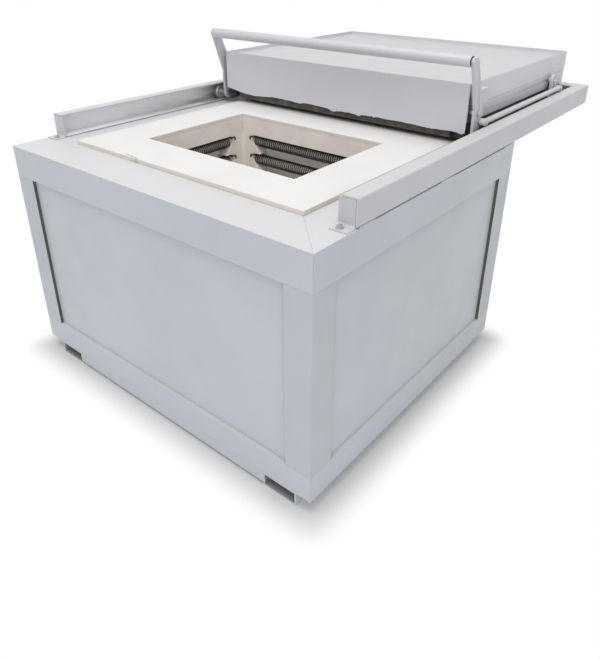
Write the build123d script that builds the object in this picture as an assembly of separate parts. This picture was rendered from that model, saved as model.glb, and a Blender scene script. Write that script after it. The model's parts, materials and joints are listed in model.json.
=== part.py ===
"""Top-loading electric chamber furnace with a roll-back lid on rails.

Millimetres, +Z up, +X to the right seen from the front, +Y to the back.
Pieces are drawn with depth measured from the casing's front face and height from the floor.
They are moved on export so that the origin is the centre of the bounding box's base.
"""
from build123d import *
import math
import os

os.makedirs("parts", exist_ok=True)

# Casing
CASE_WIDTH = 1434
CASE_DEPTH = 1238
CASE_HEIGHT = 842
FORK_HEIGHT = 53
BASE_HEIGHT = 96
FASCIA_HEIGHT = 116
POST_WIDTH = 100
PANEL_RECESS = 12
SHEET = 3
SKIRT_HEIGHT = 42

Z_BASE = FORK_HEIGHT
Z_POST = Z_BASE + BASE_HEIGHT
Z_TOP = Z_BASE + CASE_HEIGHT
Z_SEAM = Z_TOP - FASCIA_HEIGHT
HALF_WIDTH = CASE_WIDTH / 2

# Fork pockets: the pair sits a little to the right of the middle
FORK_WIDTH = 135
FORK_WALL = 6
FORK_CENTRES = {"left": -564, "right": 593}

# Chamber, seen from above, and its courses
CHAMBER_X = 361
CHAMBER_FRONT = 355
CHAMBER_BACK = 868
SLOT_DEPTH = 50
BRICK_DEPTH = 115
BAND_HEIGHT = 71
ROW_PITCH = 82
ROWS = 3
HEARTH_THICKNESS = 15
CORNER_LEG_X = 56
CORNER_LEG_Y = 68
CORNER_EASE = 14
TOP_FLANGE = 180

Z_BAND = Z_TOP - BAND_HEIGHT
Z_HEARTH = Z_BAND - ROWS * ROW_PITCH
BRICK_X = CHAMBER_X + SLOT_DEPTH + BRICK_DEPTH
SLOT_X = CHAMBER_X + SLOT_DEPTH
SLOT_FRONT = CHAMBER_FRONT - SLOT_DEPTH
SLOT_BACK = CHAMBER_BACK + SLOT_DEPTH
BRICK_FRONT = SLOT_FRONT - BRICK_DEPTH
BRICK_BACK = SLOT_BACK + BRICK_DEPTH
CHAMBER_MIDDLE = (CHAMBER_FRONT + CHAMBER_BACK) / 2

# Collar: the white board around the mouth
COLLAR_X = 550
COLLAR_FRONT = 168
COLLAR_BACK = 1066
COLLAR_THICKNESS = 15
Z_COLLAR = Z_TOP + COLLAR_THICKNESS

# Heating elements: a coil wound round a ceramic tube in each row of each wall
COIL_RADIUS = 21.5
WIRE_RADIUS = 2.5
CURLS = 8
COIL_END_GAP = 8
LEAD_IN_BRICK = 12
LEAD_HOLE_RADIUS = 3.5
CARRIER_RADIUS = 12
CARRIER_BORE = 7
SOCKET_RADIUS = 12.4
SOCKET_DEPTH = 24
ROW_DROP = 30

# Rails on top of the casing
RAIL_HEIGHT = 85
RAIL_WIDTH = 52
RAIL_THICKNESS = 5
RAIL_BEND = 6
RAIL_FRONT = 184
RAIL_BACK = 2090
CROSSBAR_WIDTH = 70
PAD_THICKNESS = 3
PAD_SPANS = ((196, 276), (654, 744), (1150, 1236))
BRACKET_THICKNESS = 5
BRACKET_FOOT = 42
BRACKET_FOOT_THICKNESS = 4
BRACKET_OVERHANG = 9
BRACKET_BEND = 7
BOLT_X = 678
BOLT_FROM_RAIL = 24
BOLT_RADIUS = 9.5
BOLT_HEAD = 7
WASHER_RADIUS = 11.5
WASHER_THICKNESS = 1.6

Z_RAIL = Z_TOP + PAD_THICKNESS
Z_RAIL_TOP = Z_RAIL + RAIL_HEIGHT
RAIL_INNER_X = HALF_WIDTH - RAIL_WIDTH

# Lid, raised and rolled back
LID_X = 607
LID_FRONT = 1024
LID_BACK = 2036
LID_SHEET = 3
LID_TRAY = 15
LID_HEIGHT = 222
LID_CAP_HEIGHT = 84
LID_SKIRT = 56
LID_FRONT_CORNER = 23
LID_FRONT_LIP = 9
LID_LIP_X = 545
LID_SEAM = 0.5
LINING_X = 542
LINING_FRONT = 1036
LINING_BACK = 2000
LINING_GAP = 18
LINING_CLOSED_GAP = 0.5
BAR_INNER_X = 563
BAR_FRONT = 1034
BAR_BACK = 1985
BAR_WALL = 4

Z_LINING = Z_COLLAR + LINING_GAP
Z_LID_TOP = Z_COLLAR + LID_HEIGHT
Z_LID_SEAM = Z_LID_TOP - LID_CAP_HEIGHT
Z_LID_SKIRT = Z_LID_SEAM - LID_SKIRT

# Lifting gear: lever, cranks, push rods and rollers, by depth and height
ROLLER_RADIUS = 33
ROLLER_WIDTH = 22
ROLLER_X = 674
ROLLER_GAP = 0.4
WHEELBASE = 785
AXLE_FRONT = 1048
AXLE_RADIUS = 10
PIVOT_OFFSET = (4, 92)
PIVOT_RADIUS = 9
PIVOT_NUT_RADIUS = 12
ROD_OFFSET = (20, 61)
ROD_PIN_RADIUS = 6
ROD_RADIUS = 10
ROD_EYE_RADIUS = 12.5
ROD_EYE_WIDTH = 22
ROD_X = 654
ARM_X = 626
ARM_THICKNESS = 10
ARM_TOP = 292
ARM_FRONT_EDGE = (-90, 0.355)
ARM_BACK_EDGE = (-45, 0.45)
HANDLE_OFFSET = (-76, 280)
HANDLE_RADIUS = 20
HANDLE_WALL = 3
AXLE_BOSS_RADIUS = 21
PIVOT_BOSS_RADIUS = 30
PIN_BOSS_RADIUS = 16
RUNNING_FIT = 0.05
OPEN_PIVOT_FIT = 0.6
STOP_HEIGHTS = (122, 176)
STOP_BACK = 77
STOP_WIDTH = 29
NOTCH = ((-6, 0), (38, 42), (56, 42), (56, 0))

Z_AXLE = Z_RAIL + RAIL_THICKNESS + ROLLER_GAP + ROLLER_RADIUS

# Rear services
COVER_X = 330
COVER_DEPTH = 76
COVER_BOTTOM = 360
COVER_TOP = 760
COVER_SHEET = 2
COVER_FLANGE = 18
SCREW_RADIUS = 4
GLAND_X = -220
GLAND_RADIUS = 15
GLAND_BORE = 7
GLAND_LENGTH = 34
PROBE_X = 200
PROBE_RADIUS = 7
PROBE_TIP = 874
PROBE_HEAD_RADIUS = 17

BACK_PANEL = CASE_DEPTH - PANEL_RECESS
SIDES = (("left", -1), ("right", 1))


def block(x, y, z):
    """A box given by its low and high values along each axis."""
    size = (x[1] - x[0], y[1] - y[0], z[1] - z[0])
    middle = ((x[0] + x[1]) / 2, (y[0] + y[1]) / 2, (z[0] + z[1]) / 2)
    return Pos(*middle) * Box(*size)


def prism(points, z):
    """An upright prism on a plan outline."""
    return Pos(0, 0, z[0]) * extrude(make_face(Polyline(*points, close=True)), z[1] - z[0])


def side_plate(points, x):
    """A plate with an outline in depth and height, between two values of X."""
    outline = make_face(Polyline(*points, close=True))
    return extrude(Plane.YZ.offset(x[0]) * outline, x[1] - x[0])


def rod_x(x, y, z, radius):
    """A cylinder along X."""
    return Pos((x[0] + x[1]) / 2, y, z) * Rot(0, 90, 0) * Cylinder(radius, x[1] - x[0])


def rod_y(x, y, z, radius):
    """A cylinder along Y."""
    return Pos(x, (y[0] + y[1]) / 2, z) * Rot(90, 0, 0) * Cylinder(radius, y[1] - y[0])


def rod_z(x, y, z, radius):
    """An upright cylinder."""
    return Pos(x, y, (z[0] + z[1]) / 2) * Cylinder(radius, z[1] - z[0])


def mirrored(shape, side):
    """A piece drawn for the right side, or its mirror image on the left."""
    return shape if side > 0 else mirror(shape, about=Plane.YZ)


def save(name, *shapes):
    """Writes one node, moved to the part's own origin."""
    moved = [Pos(0, -RAIL_BACK / 2, 0) * shape for shape in shapes]
    export_step(moved[0] if len(moved) == 1 else Compound(children=moved), f"parts/{name}.step")


def turned(offset, angle):
    """A lever's offset from its axle, in depth and height, after a turn in degrees."""
    c, s = math.cos(math.radians(angle)), math.sin(math.radians(angle))
    return offset[0] * c - offset[1] * s, offset[0] * s + offset[1] * c


def lever_travel():
    """The turn that lowers the lid from its raised place to the collar, in degrees."""
    fall = LINING_GAP - LINING_CLOSED_GAP
    reach = math.hypot(*PIVOT_OFFSET)
    lean = math.degrees(math.atan2(PIVOT_OFFSET[0], PIVOT_OFFSET[1]))
    return lean + math.degrees(math.acos((PIVOT_OFFSET[1] - fall) / reach))


def frame_side(name, width, length, depth):
    """The plan outline of one side of a mitred frame of the casing's size."""
    front = [(-length / 2, 0), (length / 2, 0), (length / 2 - width, width), (width - length / 2, width)]
    if name == "front":
        return front
    if name == "rear":
        return [(x, depth - y) for x, y in front]
    right = [
        (length / 2, 0),
        (length / 2, depth),
        (length / 2 - width, depth - width),
        (length / 2 - width, width),
    ]
    return right if name == "right" else [(-x, y) for x, y in right]


def base_rails():
    """Four hollow rails, mitred at the corners, under the posts and panels."""
    wall = 5
    x_in, y_in = HALF_WIDTH - BASE_HEIGHT, BASE_HEIGHT
    z = (Z_BASE, Z_POST)
    outer = block((-HALF_WIDTH, HALF_WIDTH), (0, CASE_DEPTH), z)
    outer -= block((-x_in, x_in), (y_in, CASE_DEPTH - y_in), z)
    z_hollow = (z[0] + wall, z[1] - wall)
    hollow = block((wall - HALF_WIDTH, HALF_WIDTH - wall), (wall, CASE_DEPTH - wall), z_hollow)
    hollow -= block((-x_in - wall, x_in + wall), (y_in - wall, CASE_DEPTH - y_in + wall), z)
    ring = outer - hollow
    for name in ("front", "rear", "left", "right"):
        plan = frame_side(name, BASE_HEIGHT, CASE_WIDTH, CASE_DEPTH)
        save(f"base_rail_{name}", ring & prism(plan, z))


def fork_tubes():
    """Two rectangular tubes that the furnace stands on and is lifted by."""
    half = FORK_WIDTH / 2
    for name, x in FORK_CENTRES.items():
        tube = block((x - half, x + half), (0, CASE_DEPTH), (0, FORK_HEIGHT))
        inner = half - FORK_WALL
        tube -= block((x - inner, x + inner), (-1, CASE_DEPTH + 1), (FORK_WALL, FORK_HEIGHT - FORK_WALL))
        save(f"fork_tube_{name}", tube)
    left = FORK_CENTRES["left"] + half
    right = FORK_CENTRES["right"] - half
    save("front_skirt", block((left, right), (0, 4), (FORK_HEIGHT - SKIRT_HEIGHT, FORK_HEIGHT)))


def corner_posts():
    """Folded corner posts with returned edges, standing proud of the panels."""
    w, r, t = POST_WIDTH, PANEL_RECESS, SHEET
    fold = [(0, 0), (w, 0), (w, r), (w - t, r), (w - t, t), (t, t), (t, w - t), (r, w - t), (r, w), (0, w)]
    for depth_name, flip in (("front", False), ("rear", True)):
        for name, side in SIDES:
            plan = [(side * (HALF_WIDTH - x), CASE_DEPTH - y if flip else y) for x, y in fold]
            save(f"corner_post_{depth_name}_{name}", prism(plan, (Z_POST, Z_SEAM)))


def panels():
    """Four flat sheets behind the posts' returned edges, tucked up behind the top frame."""
    overlap = 33
    z = (Z_POST, Z_SEAM + 20)
    x = HALF_WIDTH - POST_WIDTH + overlap
    y = (POST_WIDTH - overlap, CASE_DEPTH - POST_WIDTH + overlap)
    save("front_panel", block((-x, x), (PANEL_RECESS, PANEL_RECESS + SHEET), z))
    rear = block((-x, x), (BACK_PANEL - SHEET, BACK_PANEL), z)
    rear -= rod_y(PROBE_X, (BACK_PANEL - SHEET - 1, BACK_PANEL + 1), probe_height(), PROBE_RADIUS + 0.5)
    save("rear_panel", rear)
    outer = HALF_WIDTH - PANEL_RECESS
    for name, side in SIDES:
        save(f"{name}_panel", mirrored(block((outer - SHEET, outer), y, z), side))


def top_frame():
    """Four folded members: a fascia above the panels and a wide flange in to the collar."""
    z = (Z_SEAM, Z_TOP)
    t = SHEET
    shell = block((-HALF_WIDTH, HALF_WIDTH), (0, CASE_DEPTH), z)
    shell -= block((t - HALF_WIDTH, HALF_WIDTH - t), (t, CASE_DEPTH - t), (Z_SEAM - 1, Z_TOP - t))
    mouth_x = HALF_WIDTH - TOP_FLANGE
    shell -= block((-mouth_x, mouth_x), (TOP_FLANGE, CASE_DEPTH - TOP_FLANGE), (Z_SEAM, Z_TOP + 1))
    for name in ("front", "rear", "left", "right"):
        plan = frame_side(name, TOP_FLANGE, CASE_WIDTH, CASE_DEPTH)
        save(f"top_frame_{name}", shell & prism(plan, z))


def row_heights():
    """Heights of the rows of heating elements, from the top down."""
    return [Z_BAND - ROW_DROP - i * ROW_PITCH for i in range(ROWS)]


def probe_height():
    """The thermocouple enters between the two lowest rows."""
    rows = row_heights()
    return (rows[1] + rows[2]) / 2


def insulation():
    """Fibre boards behind the bricks, the thick floor, and the pan that carries them."""
    inside_x = HALF_WIDTH - 17
    front, back = 17, CASE_DEPTH - 17
    z_pan = (Z_POST, Z_POST + SHEET)
    save("floor_pan", block((-inside_x, inside_x), (front, back), z_pan))
    z = (z_pan[1], Z_TOP - SHEET)
    boards = [
        block((-inside_x, inside_x), (front, BRICK_FRONT), z),
        block((-inside_x, inside_x), (BRICK_BACK, back), z)
        - rod_y(PROBE_X, (BRICK_BACK - 1, back + 1), probe_height(), PROBE_RADIUS + 0.5),
    ]
    for _, side in SIDES:
        boards.append(mirrored(block((BRICK_X, inside_x), (BRICK_FRONT, BRICK_BACK), z), side))
    save("backing_boards", *boards)
    z_floor = (z_pan[1], Z_HEARTH - HEARTH_THICKNESS)
    save("floor_insulation", block((-BRICK_X, BRICK_X), (BRICK_FRONT, BRICK_BACK), z_floor))
    z_hearth = (z_floor[1], Z_HEARTH)
    save("hearth_plate", block((-SLOT_X, SLOT_X), (SLOT_FRONT, SLOT_BACK), z_hearth))


def brick_courses():
    """The flush course at the mouth, and the set-back walls that the elements hang before."""
    z_band = (Z_BAND, Z_TOP)
    upper = [
        block((-BRICK_X, BRICK_X), (BRICK_FRONT, CHAMBER_FRONT), z_band),
        block((-BRICK_X, BRICK_X), (CHAMBER_BACK, BRICK_BACK), z_band),
    ]
    for _, side in SIDES:
        upper.append(mirrored(block((CHAMBER_X, BRICK_X), (CHAMBER_FRONT, CHAMBER_BACK), z_band), side))
    save("mouth_course", *upper)
    z_wall = (Z_HEARTH - HEARTH_THICKNESS, Z_BAND)
    lower = [
        block((-BRICK_X, BRICK_X), (BRICK_FRONT, SLOT_FRONT), z_wall),
        block((-BRICK_X, BRICK_X), (SLOT_BACK, BRICK_BACK), z_wall)
        - rod_y(PROBE_X, (SLOT_BACK - 1, BRICK_BACK + 1), probe_height(), PROBE_RADIUS + 0.5),
    ]
    for _, side in SIDES:
        lower.append(mirrored(block((SLOT_X, BRICK_X), (SLOT_FRONT, SLOT_BACK), z_wall), side))
    save("chamber_walls", *lower)


def corner_brick(z_row):
    """The brick at the back right corner of one row, with sockets for tubes and leads."""
    x_end, y_end = CHAMBER_X - CORNER_LEG_X, CHAMBER_BACK - CORNER_LEG_Y
    plan = [
        (SLOT_X, SLOT_BACK),
        (x_end, SLOT_BACK),
        (x_end, CHAMBER_BACK),
        (CHAMBER_X - CORNER_EASE, CHAMBER_BACK),
        (CHAMBER_X, CHAMBER_BACK - CORNER_EASE),
        (CHAMBER_X, y_end),
        (SLOT_X, y_end),
    ]
    z_top = z_row + ROW_DROP
    z_bottom = z_top - ROW_PITCH
    brick = prism(plan, (z_bottom, z_top))
    x_axis, y_axis = CHAMBER_X + SLOT_DEPTH / 2, CHAMBER_BACK + SLOT_DEPTH / 2
    brick -= rod_x((x_end - 1, x_end + SOCKET_DEPTH), y_axis, z_row, SOCKET_RADIUS)
    brick -= rod_y(x_axis, (y_end - 1, y_end + SOCKET_DEPTH), z_row, SOCKET_RADIUS)
    lead = LEAD_IN_BRICK + 4
    brick -= rod_x((x_end - 1, x_end + lead), y_axis, z_row + COIL_RADIUS, LEAD_HOLE_RADIUS)
    brick -= rod_y(x_axis, (y_end - 1, y_end + lead), z_row + COIL_RADIUS, LEAD_HOLE_RADIUS)
    return brick


def corner_bricks():
    """Twelve bricks, one in each corner of each row."""
    front_plane = Plane.XZ.offset(-CHAMBER_MIDDLE)
    bricks = []
    for z_row in row_heights():
        right = corner_brick(z_row)
        for brick in (right, mirror(right, about=front_plane)):
            bricks += [brick, mirror(brick, about=Plane.YZ)]
    save("corner_bricks", *bricks)


def helix_point(angle, pitch, start):
    """Point and unit tangent of the coil's centre line, wound about X, at a turn in radians."""
    across, up = COIL_RADIUS * math.sin(angle), COIL_RADIUS * math.cos(angle)
    point = Vector(start + pitch * angle / math.tau, across, up)
    slope = Vector(pitch / math.tau, up, -across)
    return point, slope.normalized()


def biarc(p, t, q, u):
    """Two arcs from p, leaving along t, to q, arriving along u."""
    chord, both = q - p, t + u
    slack = 2 * (1 - t.dot(u))
    across = chord.dot(both)
    reach = (math.sqrt(across * across + slack * chord.dot(chord)) - across) / slack
    near, far = p + t * reach, q - u * reach
    middle = (near + far) * 0.5
    along = (far - near).normalized()
    return [TangentArc(p, middle, tangent=t), TangentArc(middle, q, tangent=along)]


def coil(length):
    """One heating coil about the X axis, centred, with straight leads at both ends."""
    quarter = math.tau / 4
    pitch = length / CURLS
    start = -length / 2
    lead = COIL_END_GAP + LEAD_IN_BRICK
    straight = Vector(1, 0, 0)
    stops = [(Vector(start, 0, COIL_RADIUS), straight)]
    stops += [helix_point(i * quarter, pitch, start) for i in range(1, 4 * CURLS)]
    stops += [(Vector(-start, 0, COIL_RADIUS), straight)]
    edges = [Line((start - lead, 0, COIL_RADIUS), stops[0][0])]
    for (p, t), (q, u) in zip(stops, stops[1:]):
        edges += biarc(p, t, q, u)
    edges.append(Line(stops[-1][0], (lead - start, 0, COIL_RADIUS)))
    path = Wire(edges)
    tube = sweep(Plane(path @ 0, z_dir=path % 0) * Circle(WIRE_RADIUS), path=path)
    ratio = tube.volume / (math.pi * WIRE_RADIUS**2 * path.length)
    print("coil", round(length), "volume ratio", round(ratio, 4), "least gap", round(least_gap(path), 2))
    return tube


def least_gap(path):
    """The least gap between stretches of a tube that are over half a turn apart along it."""
    count = 60 * CURLS
    points = [path @ (i / count) for i in range(count + 1)]
    apart = math.ceil(math.pi * COIL_RADIUS / (path.length / count))
    gaps = [(points[i] - q).length for i in range(count) for q in points[i + apart :]]
    return min(gaps) - 2 * WIRE_RADIUS


def elements():
    """Carrier tubes and coils: a long pair and a short pair of walls in each row."""
    x_end, y_end = CHAMBER_X - CORNER_LEG_X, CHAMBER_BACK - CORNER_LEG_Y - CHAMBER_MIDDLE
    x_axis = CHAMBER_X + SLOT_DEPTH / 2
    y_axis = CHAMBER_BACK + SLOT_DEPTH / 2 - CHAMBER_MIDDLE
    tube_end = SOCKET_DEPTH - 2
    long_coil = coil(2 * (x_end - COIL_END_GAP))
    short_coil = Rot(0, 0, 90) * coil(2 * (y_end - COIL_END_GAP))
    long_tube = rod_x((-x_end - tube_end, x_end + tube_end), 0, 0, CARRIER_RADIUS)
    long_tube -= rod_x((-CHAMBER_X, CHAMBER_X), 0, 0, CARRIER_BORE)
    short_tube = rod_y(0, (-y_end - tube_end, y_end + tube_end), 0, CARRIER_RADIUS)
    short_tube -= rod_y(0, (-CHAMBER_X, CHAMBER_X), 0, CARRIER_BORE)
    tubes, long_coils, short_coils = [], [], []
    for z in row_heights():
        for sign in (-1, 1):
            wall = Pos(0, CHAMBER_MIDDLE + sign * y_axis, z)
            tubes.append(wall * long_tube)
            long_coils.append(wall * long_coil)
            wall = Pos(sign * x_axis, CHAMBER_MIDDLE, z)
            tubes.append(wall * short_tube)
            short_coils.append(wall * short_coil)
    save("carrier_tubes", *tubes)
    save("heating_coils_long", *long_coils)
    save("heating_coils_short", *short_coils)


def collar():
    """The board around the mouth, lying on the top frame and the mouth course."""
    z = (Z_TOP, Z_COLLAR)
    board = block((-COLLAR_X, COLLAR_X), (COLLAR_FRONT, COLLAR_BACK), z)
    mouth = block((-CHAMBER_X, CHAMBER_X), (CHAMBER_FRONT, CHAMBER_BACK), (z[0] - 1, z[1] + 1))
    save("collar", board - mouth)


def rails():
    """Two channels open inwards and a crossbar open forwards, mitred into one U."""
    t = RAIL_THICKNESS
    z = (Z_RAIL, Z_RAIL_TOP)
    z_in = (Z_RAIL + t, Z_RAIL_TOP - t)
    x_in = (RAIL_INNER_X - 1, HALF_WIDTH - t)
    channel = block((RAIL_INNER_X, HALF_WIDTH), (RAIL_FRONT, RAIL_BACK), z)
    channel = fillet(channel.edges().filter_by(Axis.Y).sort_by(Axis.X)[-2:], RAIL_BEND)
    channel -= block(x_in, (RAIL_FRONT - 1, RAIL_BACK + 1), z_in)
    plate_cut = (RAIL_FRONT - 1, RAIL_FRONT + BRACKET_THICKNESS + 1)
    channel -= block(x_in, plate_cut, (Z_RAIL - 1, z_in[0] + 1))
    mitre = RAIL_BACK - CROSSBAR_WIDTH
    corner_out, corner_in = (HALF_WIDTH, RAIL_BACK), (RAIL_INNER_X, mitre)
    rail = channel & prism([(RAIL_INNER_X, RAIL_FRONT), (HALF_WIDTH, RAIL_FRONT), corner_out, corner_in], z)
    for name, side in SIDES:
        save(f"rail_{name}", mirrored(rail, side))
    crossbar = block((-HALF_WIDTH, HALF_WIDTH), (mitre, RAIL_BACK), z)
    crossbar = fillet(crossbar.edges().filter_by(Axis.X).sort_by(Axis.Y)[-2:], RAIL_BEND)
    crossbar -= block((-HALF_WIDTH - 1, HALF_WIDTH + 1), (mitre - 1, RAIL_BACK - t), z_in)
    bar_plan = [(-HALF_WIDTH, RAIL_BACK), corner_out, corner_in, (-RAIL_INNER_X, mitre)]
    save("rail_crossbar", crossbar & prism(bar_plan, z))


def rail_fittings():
    """Angle brackets that close and hold the rails' front ends, their bolts, and packing plates."""
    x = (RAIL_INNER_X - BRACKET_OVERHANG, HALF_WIDTH - RAIL_THICKNESS - 1)
    plate_y = (RAIL_FRONT, RAIL_FRONT + BRACKET_THICKNESS)
    plate = block(x, plate_y, (Z_TOP, Z_RAIL_TOP - RAIL_THICKNESS - 1))
    foot_y = (RAIL_FRONT - BRACKET_FOOT, RAIL_FRONT)
    z_foot = Z_TOP + BRACKET_FOOT_THICKNESS
    bracket = plate + block((x[0], HALF_WIDTH - 3), foot_y, (Z_TOP, z_foot))
    bend = bracket.edges().filter_by(Axis.X).sort_by_distance((x[0], RAIL_FRONT, z_foot))[0]
    bracket = fillet(bend, BRACKET_BEND)
    save("rail_brackets", *[mirrored(bracket, side) for _, side in SIDES])
    y_bolt = RAIL_FRONT - BOLT_FROM_RAIL
    z_washer = z_foot + WASHER_THICKNESS
    bolt = rod_z(BOLT_X, y_bolt, (z_foot, z_washer), WASHER_RADIUS)
    head = extrude(Rot(0, 0, 18) * RegularPolygon(BOLT_RADIUS, 6), BOLT_HEAD)
    bolt += Pos(BOLT_X, y_bolt, z_washer) * head
    save("bracket_bolts", *[mirrored(bolt, side) for _, side in SIDES])
    pads = [block((RAIL_INNER_X + 2, HALF_WIDTH), span, (Z_TOP, Z_RAIL)) for span in PAD_SPANS]
    save("rail_pads", *[mirrored(pad, side) for pad in pads for _, side in SIDES])


def lid_cover():
    """The upper shell: a top sunk like a tray, and a front panel that reaches down past the frame."""
    t = LID_SHEET
    z = (Z_LID_SEAM + LID_SEAM, Z_LID_TOP)
    shell = block((-LID_X, LID_X), (LID_FRONT, LID_BACK), z)
    z_plate = Z_LID_TOP - LID_TRAY
    inside = ((t - LID_X, LID_X - t), (LID_FRONT + t, LID_BACK - t))
    shell -= block(*inside, (z_plate, Z_LID_TOP + 1))
    shell -= block(*inside, (z[0] - 1, z_plate - t))
    z_corner = Z_LID_SKIRT - LID_FRONT_CORNER
    z_lip = z_corner - LID_FRONT_LIP
    outline = [
        (-LID_X, z[0] + 1),
        (-LID_X, z_corner),
        (-LID_LIP_X, z_lip),
        (LID_LIP_X, z_lip),
        (LID_X, z_corner),
        (LID_X, z[0] + 1),
    ]
    face = make_face(Polyline(*[(x, LID_FRONT, height) for x, height in outline], close=True))
    save("lid_cover", shell + extrude(face, t, dir=(0, 1, 0)))


def lid_frame():
    """The lower band behind the front panel, joggled in behind the cover and notched at the cranks."""
    t = LID_SHEET
    front = LID_FRONT + t + LID_SEAM
    z = (Z_LID_SKIRT, Z_LID_SEAM)
    ring = block((-LID_X, LID_X), (front, LID_BACK), z)
    ring -= block((t - LID_X, LID_X - t), (front + t, LID_BACK - t), (z[0] - 1, z[1] + 1))
    z_joggle = (Z_LID_SEAM - 14, Z_LID_SEAM + 14)
    joggle = block((t - LID_X, LID_X - t), (front, LID_BACK - t), z_joggle)
    inner = ((2 * t - LID_X, LID_X - 2 * t), (front + t, LID_BACK - 2 * t))
    joggle -= block(*inner, (z[0] - 1, z_joggle[1] + 1))
    frame = ring + joggle
    across = (-LID_X - 1, LID_X + 1)
    rear = AXLE_FRONT + WHEELBASE
    frame -= side_plate([(rear + y, Z_LID_SKIRT + height - 1) for y, height in NOTCH], across)
    for axle in (AXLE_FRONT, rear):
        frame -= rod_x(across, axle + PIVOT_OFFSET[0], Z_AXLE + PIVOT_OFFSET[1], PIVOT_RADIUS + RUNNING_FIT)
    save("lid_frame", frame)


def lid_inside():
    """The insulating block, and the box bars beside it that carry the pivots."""
    gap = 2 * LID_SHEET + 1
    z_plate = Z_LID_TOP - LID_TRAY - LID_SHEET
    z_shoulder = Z_LID_SEAM + 16
    upper = block((gap - LID_X, LID_X - gap), (LID_FRONT + gap + 1, LID_BACK - gap), (z_shoulder, z_plate))
    lower = block((-LINING_X, LINING_X), (LINING_FRONT, LINING_BACK), (Z_LINING, z_shoulder))
    save("lid_lining", upper + lower)
    w = BAR_WALL
    x = (BAR_INNER_X, LID_X - 2 * LID_SHEET)
    z = (Z_LINING + 4, z_shoulder)
    bar = block(x, (BAR_FRONT, BAR_BACK), z)
    bar -= block((x[0] + w, x[1] - w), (BAR_FRONT + w, BAR_BACK - w), (z[0] + w, z[1] - w))
    for axle in (AXLE_FRONT, AXLE_FRONT + WHEELBASE):
        y_pivot, z_pivot = axle + PIVOT_OFFSET[0], Z_AXLE + PIVOT_OFFSET[1]
        bar -= rod_x((x[1] - w - 1, LID_X), y_pivot, z_pivot, PIVOT_RADIUS + RUNNING_FIT)
    save("lid_side_bars", *[mirrored(bar, side) for _, side in SIDES])


def arm_edge(edge, height):
    """Depth of the lever arm's front or back edge at a height above the axle."""
    return AXLE_FRONT + edge[0] + (ARM_TOP - height) * edge[1]


def lid_stops():
    """Blocks on the lid's sides that the raised lever leans back on."""
    low, high = STOP_HEIGHTS
    back = AXLE_FRONT + STOP_BACK
    outline = [
        (arm_edge(ARM_BACK_EDGE, low) + 0.6, Z_AXLE + low),
        (back, Z_AXLE + low),
        (back, Z_AXLE + high - 10),
        (back - 10, Z_AXLE + high),
        (arm_edge(ARM_BACK_EDGE, high) + 0.6, Z_AXLE + high),
    ]
    stop = side_plate(outline, (LID_X, LID_X + STOP_WIDTH))
    save("lid_stops", *[mirrored(stop, side) for _, side in SIDES])


def hexagon_nut(x, y, z, radius):
    """A hexagon nut about the X axis."""
    outline = Pos(y, z) * RegularPolygon(radius, 6)
    return extrude(Plane.YZ.offset(x[0]) * outline, x[1] - x[0])


def pivot_pins():
    """Four pins fixed in the lid, on which the lever's arms and the cranks turn."""
    pins = []
    for axle in (AXLE_FRONT, AXLE_FRONT + WHEELBASE):
        y, z = axle + PIVOT_OFFSET[0], Z_AXLE + PIVOT_OFFSET[1]
        end = ARM_X + ARM_THICKNESS
        pin = rod_x((LID_X - 16, end + 4.6), y, z, PIVOT_RADIUS)
        pin += rod_x((LID_X, ARM_X - 0.3), y, z, PIVOT_RADIUS + 3)
        pin += hexagon_nut((end + 0.3, end + 4.2), y, z, PIVOT_NUT_RADIUS)
        pins += [mirrored(pin, side) for _, side in SIDES]
    save("lid_pivot_pins", *pins)


def rounded_plate(corners, x):
    """A plate with round corners: each corner is a depth, a height and a radius."""
    outline = make_hull([Circle(r).edge().moved(Location((y, z, 0))) for y, z, r in corners])
    return extrude(Plane.YZ.offset(x[0]) * outline, x[1] - x[0])


def linkage_corners(axle):
    """Corners of the three-hole plate about an axle: axle, lid pivot and rod pin."""
    return [
        (axle, Z_AXLE, AXLE_BOSS_RADIUS),
        (axle + PIVOT_OFFSET[0], Z_AXLE + PIVOT_OFFSET[1], PIVOT_BOSS_RADIUS),
        (axle + ROD_OFFSET[0], Z_AXLE + ROD_OFFSET[1], PIN_BOSS_RADIUS),
    ]


def drill_linkage(plate, axle):
    """Bores a linkage plate for its axle, lid pivot and rod pin."""
    x = (ARM_X - 1, ARM_X + ARM_THICKNESS + 1)
    for offset, radius in (
        ((0, 0), AXLE_RADIUS),
        (PIVOT_OFFSET, PIVOT_RADIUS),
        (ROD_OFFSET, ROD_PIN_RADIUS),
    ):
        plate -= rod_x(x, axle + offset[0], Z_AXLE + offset[1], radius + RUNNING_FIT)
    return plate


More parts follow.
